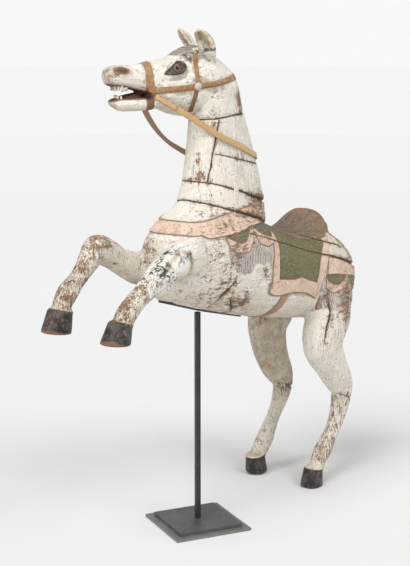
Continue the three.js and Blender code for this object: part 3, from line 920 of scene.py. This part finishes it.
class WoodPaint(Paint):
    """The horse's old paint: its layers, from the ground to the soiling and the painted shade, over noises
    they share.
    """

    def __init__(self):
        super().__init__("painted_wood")
        self.at = self.place()
        self.grain_at = self.vector("grain")
        self.eye_at = self.vector("eye_at")
        self.grain = self.noise(0.09, 5.0, 0.65, self.grain_at)
        self.fine_grain = self.noise(0.42, 4.0, 0.7, self.grain_at)
        self.broad = self.noise(7.0, 4.0, 0.6, self.at)
        self.mid = self.noise(38.0, 6.0, 0.62, self.at, 0.4)
        self.small = self.noise(140.0, 5.0, 0.65, self.at, 0.3)
        self.tiny = self.noise(420.0, 3.0, 0.6, self.at)
        self.wobble = self.mad(self.mid, 5.0, -2.5)
        self.brush = self.mad(self.small, 2.0, -1.0)
        self.forward = self.parts(self.at)[0]

    def area(self, name, low=-0.6, high=0.6, ragged=0.45):
        """1 inside a painted shape, with a ragged edge."""
        return self.step(self.mad(self.wobble, ragged, self.value(name)), low, high)

    def outline(self, name, where, width):
        """1 along the edge of a painted shape."""
        ring = self.size(self.add(self.value(name), where))
        return self.step(self.mad(self.small, 1.6, ring), width + 0.6, width + 2.0, 1.0, 0.0)

    def ground(self):
        self.base = self.mix(self.broad, (238, 232, 220), (216, 208, 192))
        self.over(self.step(self.mid, 0.42, 0.62), (246, 242, 234))
        self.over(self.step(self.grain, 0.50, 0.66, 0.0, 0.5), (206, 194, 170))
        self.over(self.step(self.fine_grain, 0.54, 0.66, 0.0, 0.6), (196, 184, 162))
        cloud = self.noise(11.0, 4.0, 0.6, self.at, 0.5)
        self.over(self.step(cloud, 0.52, 0.68, 0.0, 0.4), (204, 196, 178))

    def cloth(self):
        self.over(self.area("panel"), (224, 216, 196))
        pink = self.mix(self.step(self.broad, 0.35, 0.65), (230, 202, 182), (216, 190, 168))
        pink = self.mix(self.step(self.small, 0.50, 0.64, 0.0, 0.55), pink, (196, 156, 132))
        pink_at = self.area("pink")
        self.over(pink_at, pink)
        strand = self.size(self.math("SINE", self.mul(self.forward, math.pi / (STRAND * MM))))
        threads = self.mix(self.step(strand, 0.1, 0.7), (128, 116, 108), (206, 199, 190))
        self.over(self.mul(self.area("fringe"), self.rest(pink_at)), threads)
        green = self.mix(self.step(self.broad, 0.35, 0.68), (98, 102, 74), (116, 112, 78))
        green = self.mix(self.step(self.mid, 0.46, 0.62, 0.0, 0.55), green, (130, 120, 82))
        green = self.mix(self.step(self.small, 0.52, 0.62, 0.0, 0.75), green, (158, 142, 104))
        green = self.mix(self.step(self.tiny, 0.56, 0.66, 0.0, 0.5), green, (66, 68, 50))
        front = self.mul(self.step(self.forward, -0.13, -0.10), 0.7)
        green = self.mix(front, green, (94, 112, 86))
        self.over(self.area("green"), green)
        trim = self.mix(self.broad, (186, 148, 124), (166, 130, 104))
        self.over(self.step(self.value("trim"), -0.5, 0.8), trim)

    def seat(self):
        saddle = self.mix(self.step(self.grain, 0.35, 0.65), (112, 97, 84), (142, 124, 106))
        saddle = self.mix(self.step(self.fine_grain, 0.52, 0.64, 0.0, 0.55), saddle, (92, 76, 64))
        rear = self.step(self.forward, -0.50, -0.53)
        orange = self.mul(rear, self.step(self.mid, 0.44, 0.60, 0.0, 0.8))
        saddle = self.mix(orange, saddle, (166, 120, 80))
        self.over(self.area("seat", -0.8, 0.8, 0.2), saddle)

    def drawn_lines(self):
        line = self.outline("pink", -1.0, 1.4)
        for name, where, width in (("green", 0.0, 1.5), ("trim", 0.0, 1.2), ("seat", 0.5, 1.3)):
            line = self.most(line, self.outline(name, where, width))
        self.over(self.mul(line, 0.85), (112, 92, 76))

    def forelock(self):
        self.wave = self.math("SINE", self.mul(self.value("strand"), 0.62))
        hair = self.mix(self.step(self.wave, -0.9, 0.7), (96, 88, 82), (188, 178, 168))
        hair = self.mix(self.step(self.mid, 0.42, 0.60, 0.0, 0.6), hair, (150, 140, 130))
        self.hair_at = self.area("hair", -2, 3, 1.0)
        self.over(self.hair_at, hair)

    def bridle(self):
        leather = self.mix(self.step(self.mid, 0.40, 0.62), (160, 112, 66), (176, 138, 100))
        leather = self.mix(self.step(self.small, 0.50, 0.62, 0.0, 0.75), leather, (190, 158, 128))
        under_jaw = self.step(self.parts(self.eye_at)[1], -60, -72)
        leather = self.mix(self.mul(under_jaw, 0.8), leather, (112, 88, 56))
        self.over(self.area("bridle", -0.7, 0.7, 0.25), leather)
        self.over(self.step(self.size(self.value("bridle")), 0.4, 1.6, 0.55, 0.0), (112, 78, 48))
        self.over(self.step(self.value("rosette"), -0.5, 0.8), (206, 196, 186))

    def ears_and_nostrils(self):
        inner = self.mix(self.step(self.mid, 0.4, 0.6), (236, 224, 196), (222, 204, 168))
        vein = self.step(self.noise(0.05, 2.0, 0.5, self.grain_at), 0.52, 0.60, 0.0, 0.5)
        inner = self.mix(vein, inner, (158, 108, 74))
        ear = self.value("ear")
        self.over(self.step(ear, -1, 2, 0.0, 0.8), inner)
        self.over(self.step(self.size(ear), 0.6, 2.4, 0.75, 0.0), (116, 92, 72))
        nostril = self.value("nostril")
        self.over(self.step(self.add(nostril, self.wobble), -2, 5, 0.0, 0.85), (150, 92, 76))
        self.over(self.step(nostril, 5, 12), (84, 50, 42))

    def open_mouth(self):
        depth = self.value("mouth")
        self.mouth = self.step(depth, -1, 2)
        self.over(self.step(self.add(depth, self.brush), -4.5, -2.0, 0.0, 0.8), (112, 90, 74))
        self.over(self.mouth, self.mix(self.mid, (58, 34, 30), (112, 66, 58)))

    def eyes(self):
        out = self.vector_math("LENGTH", self.eye_at).outputs["Value"]
        self.eye = self.value("eye")
        iris = self.mix(self.step(out, 11.0, 12.5), (116, 86, 72), (100, 92, 88))
        iris = self.mix(self.step(out, 8.2, 9.4, 1.0, 0.0), iris, (128, 98, 84))
        iris = self.mix(self.step(out, 5.0, 6.2, 1.0, 0.0), iris, (30, 23, 21))
        ring = self.step(self.size(self.add(out, -12.2)), 0.5, 1.7, 0.9, 0.0)
        iris = self.mix(ring, iris, (46, 38, 35))
        self.over(self.step(self.eye, -5.5, -3.5, 0.0, 0.5), (122, 112, 104))
        self.over(self.step(self.eye, -2.2, -0.6), (42, 35, 33))
        self.over(self.step(self.eye, 1.8, 3.4), iris)

    def hooves(self):
        hoof = self.value("hoof")
        horn = self.mix(self.step(self.mid, 0.42, 0.60), (40, 40, 42), (88, 86, 86))
        horn = self.mix(self.step(self.small, 0.55, 0.66, 0.0, 0.75), horn, (132, 104, 82))
        low_edge = self.step(self.mad(self.wobble, 2.2, hoof), 57, 63, 0.0, 0.8)
        horn = self.mix(low_edge, horn, (142, 108, 82))
        self.hoof_at = self.step(self.mad(self.wobble, 0.6, hoof), 0.5, 2.5)
        self.over(self.hoof_at, horn)

    def white_patch(self):
        patch = self.mad(self.wobble, 0.14, self.value("blotch"))
        self.patch = self.step(patch, 0.50, 0.58)
        dark = self.step(self.noise(46.0, 5.0, 0.72, self.at, 1.4), 0.50, 0.53)
        dark = self.mul(dark, self.step(self.noise(16.0, 3.0, 0.5, self.at), 0.44, 0.54))
        spots = self.mix(self.small, (40, 44, 42), (84, 96, 84))
        self.over(self.patch, self.mix(dark, (240, 238, 230), spots))

    def crack_reach(self):
        """How far inside the joints and cracks between planks; negative outside them."""
        best = None
        for i in range(CRACK_GROUPS):
            offset = self.vector_math("ABSOLUTE", self.vector(f"crack_{i}")).outputs[0]
            inside = self.vector_math("SUBTRACT", self.vector(f"crack_wide_{i}"), offset).outputs[0]
            for part in self.parts(inside):
                best = part if best is None else self.most(best, part)
        return best

    def wear(self):
        """Worn places: thin paint, bare wood, and streaks, splits and flecks along the grain."""
        self.reach = self.crack_reach()
        self.tooth = self.value("tooth")
        worn = self.mad(self.step(self.reach, -14.0, -1.0), 0.28, self.value("worn"))
        free = self.rest(self.most(self.tooth, self.step(self.eye, -4, -2)))
        free = self.mul(free, self.rest(self.mouth))
        free = self.free = self.mul(free, self.mad(self.hair_at, -0.9, 1.0))
        shred = self.noise(0.17, 6.0, 0.72, self.grain_at, 0.8)
        cover = self.mad(self.mid, 0.35, self.mul(shred, 0.65))
        cover = self.mad(self.small, 0.20, cover)
        wood = self.mix(self.step(self.fine_grain, 0.36, 0.60), (124, 94, 70), (188, 154, 124))
        wood = self.mix(self.step(self.tiny, 0.48, 0.62, 0.0, 0.7), wood, (86, 66, 52))
        self.thin = self.mul(self.step(self.mad(worn, 0.22, cover), 0.68, 0.73, 0.0, 0.5), free)
        self.bare = self.mul(self.step(self.mad(worn, 0.20, cover), 0.725, 0.745), free)
        self.over(self.thin, (196, 172, 146))
        self.over(self.bare, wood)
        more = self.mad(self.step(self.broad, 0.38, 0.66), 0.05, self.mul(worn, 0.10))
        self.streak = self.mul(self.step(self.add(self.fine_grain, more), 0.655, 0.675, 0.0, 0.85), free)
        self.over(self.streak, (118, 94, 74))
        split = self.size(self.add(self.noise(0.10, 3.0, 0.55, self.grain_at, 1.6), -0.5))
        split = self.mul(self.step(split, 0.0, 0.013, 1.0, 0.0), free)
        self.split = self.mul(split, self.step(self.add(self.mid, more), 0.49, 0.57))
        self.over(self.mul(self.split, 0.8), (88, 68, 54))
        self.fleck = self.mul(self.step(self.add(self.small, more), 0.700, 0.720, 0.0, 0.9), free)
        self.over(self.fleck, (100, 76, 58))

    def joints(self):
        """Fine crackle in the paint, and the joints and cracks between planks."""
        drift = self.node("ShaderNodeTexNoise", {"Vector": self.at, "Scale": 30.0}).outputs["Color"]
        drift = self.vector_math("MULTIPLY", drift, (0.012, 0.012, 0.012)).outputs[0]
        drifted = self.vector_math("ADD", self.at, drift).outputs[0]
        cells = self.node("ShaderNodeTexVoronoi", feature="DISTANCE_TO_EDGE")
        self.plug(cells.inputs["Vector"], drifted)
        self.plug(cells.inputs["Scale"], 34.0)
        crackle = self.step(cells.outputs["Distance"], 0.0, 0.028, 1.0, 0.0)
        crackle = self.mul(crackle, self.step(self.mid, 0.46, 0.60))
        self.crackle = self.mul(crackle, self.free)
        self.over(self.mul(self.crackle, 0.5), (118, 98, 78))
        ragged = self.mad(self.brush, 0.9, self.mul(self.wobble, 0.5))
        self.joint = self.mul(self.step(self.add(self.reach, ragged), -0.6, 0.5), self.free)
        stain = self.step(self.mad(self.wobble, 2.4, self.reach), -4.0, 0.0, 0.0, 0.45)
        self.over(self.mul(stain, self.free), (134, 108, 84))
        self.over(self.mul(self.joint, 0.94), (50, 36, 28))

    def dirt_and_shade(self):
        # painted shade with soiling in the hollows of the carving
        dirt_and_shade = self.mul(self.step(self.value("hollow"), 0.10, 0.55), self.mul(self.mid, 1.2))
        self.over(self.mul(dirt_and_shade, 0.8), (104, 84, 66))
        # soiling multiplied in, with painted shade under the belly and on the far side
        grime_and_shade = self.mul(self.value("grime_and_shade"), self.step(self.mid, 0.30, 0.62, 0.25, 0.75))
        self.over(grime_and_shade, (176, 154, 122), "MULTIPLY")

    def bared_teeth(self):
        enamel = self.mix(self.step(self.mid, 0.4, 0.6), (222, 212, 194), (176, 156, 132))
        self.over(self.tooth, enamel)

    def surface(self):
        """The small relief and the gloss, last of all."""
        height = self.mul(self.grain, 0.35)
        for part, share in (
            (self.fine_grain, 0.30), (self.small, 0.22), (self.mul(self.hair_at, self.wave), 0.8),
            (self.bare, -0.42), (self.thin, -0.15), (self.streak, -0.25), (self.fleck, -0.3),
            (self.split, -0.4), (self.crackle, -0.35), (self.patch, 0.3), (self.joint, -1.2),
        ):
            height = self.mad(part, share, height)
        rough = self.step(self.mid, 0.3, 0.7, 0.50, 0.68)
        rough = self.mad(self.bare, 0.2, rough)
        rough = self.mad(self.hoof_at, -0.12, rough)
        rough = self.add(rough, self.step(self.eye, 1.6, 3.0, 0.0, -0.3))
        return self.finish(rough, height, 0.0011, specular=0.4)


def painted_wood():
    paint = WoodPaint()
    paint.ground()
    paint.cloth()
    paint.seat()
    paint.drawn_lines()
    paint.forelock()
    paint.bridle()
    paint.ears_and_nostrils()
    paint.open_mouth()
    paint.eyes()
    paint.hooves()
    paint.white_patch()
    paint.wear()
    paint.joints()
    paint.dirt_and_shade()
    paint.bared_teeth()
    return paint.surface()


def rein_leather():
    paint = Paint("rein_leather")
    at = paint.place()
    along = paint.value("along")
    across = paint.size(paint.value("across"))
    mid = paint.noise(30.0, 5.0, 0.6, at)
    small = paint.noise(300.0, 4.0, 0.6, at)
    paint.base = paint.mix(mid, (214, 180, 134), (192, 154, 106))
    paint.over(paint.step(small, 0.50, 0.68, 0.0, 0.4), (158, 116, 74))
    far_part = paint.step(along, 520.0, 640.0)
    paint.over(paint.mul(far_part, 0.75), (160, 136, 112))
    paint.over(paint.step(across, 0.86, 0.98, 0.0, 0.7), (138, 98, 60))
    near_end = paint.step(along, 52.0, 58.0, 1.0, 0.0)
    row = paint.step(paint.size(paint.add(across, -0.72)), 0.04, 0.09, 1.0, 0.0)
    holes = paint.step(paint.math("SINE", paint.mul(along, 1.26)), -0.1, 0.2)
    stitch = paint.mul(paint.mul(row, near_end), holes)
    paint.over(paint.mul(stitch, 0.8), (98, 66, 42))
    height = paint.mad(small, 0.5, paint.mul(stitch, 0.8))
    return paint.finish(paint.step(mid, 0.3, 0.7, 0.42, 0.58), height, 0.0005, specular=0.45)


def steel(name, dark, light, worn, rough, metal, scratches=0.5):
    paint = Paint(name)
    at = paint.place()
    broad = paint.noise(9.0, 5.0, 0.6, at)
    mid = paint.noise(60.0, 6.0, 0.65, at, 0.6)
    tiny = paint.noise(700.0, 3.0, 0.6, at)
    brushed = {"Vector": at, "Rotation": (0, 0, 0.47), "Scale": (9.0, 240.0, 60.0)}
    lines = paint.noise(1.0, 4.0, 0.7, paint.node("ShaderNodeMapping", brushed).outputs[0])
    paint.base = paint.mix(paint.step(broad, 0.3, 0.7), dark, light)
    paint.over(paint.step(mid, 0.56, 0.74, 0.0, 0.55), worn)
    paint.over(paint.step(lines, 0.58, 0.75, 0.0, scratches), worn)
    height = paint.mad(tiny, 0.35, paint.mul(mid, 0.5))
    shine = paint.step(mid, 0.3, 0.7, rough - 0.08, rough + 0.12)
    return paint.finish(shine, height, 0.0003, metal)


def painted_iron():
    paint = Paint("painted_iron")
    at = paint.place()
    mid = paint.noise(70.0, 5.0, 0.6, at, 0.4)
    small = paint.noise(240.0, 4.0, 0.6, at)
    paint.base = paint.mix(mid, (238, 232, 222), (214, 204, 190))
    flake = paint.step(small, 0.62, 0.66)
    paint.over(flake, (122, 86, 62))
    height = paint.mad(flake, -0.6, paint.mul(mid, 0.6))
    return paint.finish(0.58, height, 0.0006)


def floor_paper():
    paint = Paint("floor_paper")
    paint.base = (228, 228, 228)
    return paint.finish(0.9, specular=0.1)


def dress(obj, material):
    obj.data.materials.clear()
    obj.data.materials.append(material)


# ---- small real pieces --------------------------------------------------------------------------


def build_plate():
    """The mending plate's screw heads, set along the iron strip on the neck."""
    low, high = np.array([-60.0, 95.0, 960.0]), np.array([-77.0, 82.0, 1055.0])
    up = (high - low) / np.linalg.norm(high - low)
    across = np.array([1.0, 0, 0]) - up[0] * up
    across /= np.linalg.norm(across)
    out = np.cross(up, across)
    shapes = []
    for t in (0.04, 0.28, 0.72, 0.96):
        centre = low + (high - low) * t + out * 2.0
        v, f = ball((0, 0, 0), (4.2, 4.2, 1.6))
        shapes.append((v[:, :1] * across + v[:, 1:2] * up + v[:, 2:] * out + centre, f))
    screws = mesh_object("mending_plate_screws", *gather(shapes))
    screws.data.shade_smooth()
    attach(screws, "root")
    return screws


def soften(node, width):
    """Small rounded edges on a CAD piece."""
    bevel = node.modifiers.new("edges", "BEVEL")
    bevel.width = width
    bevel.segments = 2
    bevel.limit_method = "ANGLE"
    bevel.angle_limit = math.radians(40)


# ---- floor, light and camera --------------------------------------------------------------------


def build_floor():
    rings = [1, 2, 4, 8, 12, 18, 25, 33, 42]
    sides = 96
    vertices, faces = [(0, 0, 0)], [(0, k + 1, (k + 1) % sides + 1) for k in range(sides)]
    for r in rings:
        rise = 0.0 if r <= 8 else 7.0 * ((r - 8) / 34) ** 2
        for k in range(sides):
            a = 2 * math.pi * k / sides
            vertices.append((1000 * r * math.cos(a), 1000 * r * math.sin(a), 1000 * rise))
    for i in range(len(rings) - 1):
        for k in range(sides):
            n = (k + 1) % sides
            low, high = i * sides + 1, (i + 1) * sides + 1
            faces.append((low + k, high + k, high + n, low + n))
    return mesh_object("floor", vertices, faces)


def build_camera():
    data = bpy.data.cameras.new("camera")
    data.sensor_width = 36
    data.lens = LENS
    cam = link(bpy.data.objects.new("camera", data))
    turn, pitch = math.radians(CAMERA_TURN), math.radians(CAMERA_PITCH)
    toward = Vector((math.sin(turn), math.cos(turn), 0))
    right = Vector((-toward.y, toward.x, 0))
    cam.location = toward * 4.0 + right * 0.022 + Vector((0, 0, 1.531))
    look = -toward * math.cos(pitch) - Vector((0, 0, math.sin(pitch)))
    cam.rotation_euler = look.to_track_quat("-Z", "Y").to_euler()
    bpy.context.scene.camera = cam
    return cam


def sun(name, azimuth, elevation, strength, angle):
    data = bpy.data.lights.new(name, "SUN")
    data.energy = strength
    data.angle = math.radians(angle)
    lamp = link(bpy.data.objects.new(name, data))
    a, e = math.radians(azimuth), math.radians(elevation)
    toward = Vector((math.sin(a) * math.cos(e), math.cos(a) * math.cos(e), math.sin(e)))
    lamp.rotation_euler = toward.to_track_quat("Z", "Y").to_euler()


def build_light():
    world = bpy.data.worlds.new("studio")
    world.use_nodes = True
    world.node_tree.nodes["Background"].inputs["Color"].default_value = (1.0, 1.0, 1.0, 1.0)
    world.node_tree.nodes["Background"].inputs["Strength"].default_value = 0.42
    bpy.context.scene.world = world
    sun("key", 84, 50, 2.0, 34)
    sun("fill", 8, 50, 0.95, 26)
    bpy.context.scene.view_settings.view_transform = "Standard"


# ---- the scene ----------------------------------------------------------------------------------

build_camera()
rein = build_rein()
dress(rein, rein_leather())
horse = build_horse()
dress(horse, painted_wood())
iron = painted_iron()
dress(build_plate(), iron)
dress(NODES["neck_mending_plate"], iron)
soften(NODES["neck_mending_plate"], 0.0008)
black = steel("black_steel", (44, 43, 43), (58, 56, 55), (92, 88, 84), 0.42, 0.3, 0.25)
grey = steel("grey_steel", (82, 82, 81), (100, 99, 98), (140, 138, 134), 0.42, 0.3)
brown = steel("brown_steel", (110, 108, 102), (134, 131, 124), (158, 154, 146), 0.45, 0.3)
dark = steel("dark_iron", (38, 34, 32), (56, 50, 46), (90, 76, 64), 0.5, 0.5)
for name, material, width in (
    ("bit_nail_left", dark, 0.0012),
    ("bit_nail_right", dark, 0.0012),
    ("cradle_strap", black, 0.0008),
    ("post", black, 0.0010),
    ("upper_base_plate", grey, 0.0010),
    ("lower_base_plate", brown, 0.0010),
):
    dress(NODES[name], material)
    soften(NODES[name], width)
floor = build_floor()
dress(floor, floor_paper())
build_light()
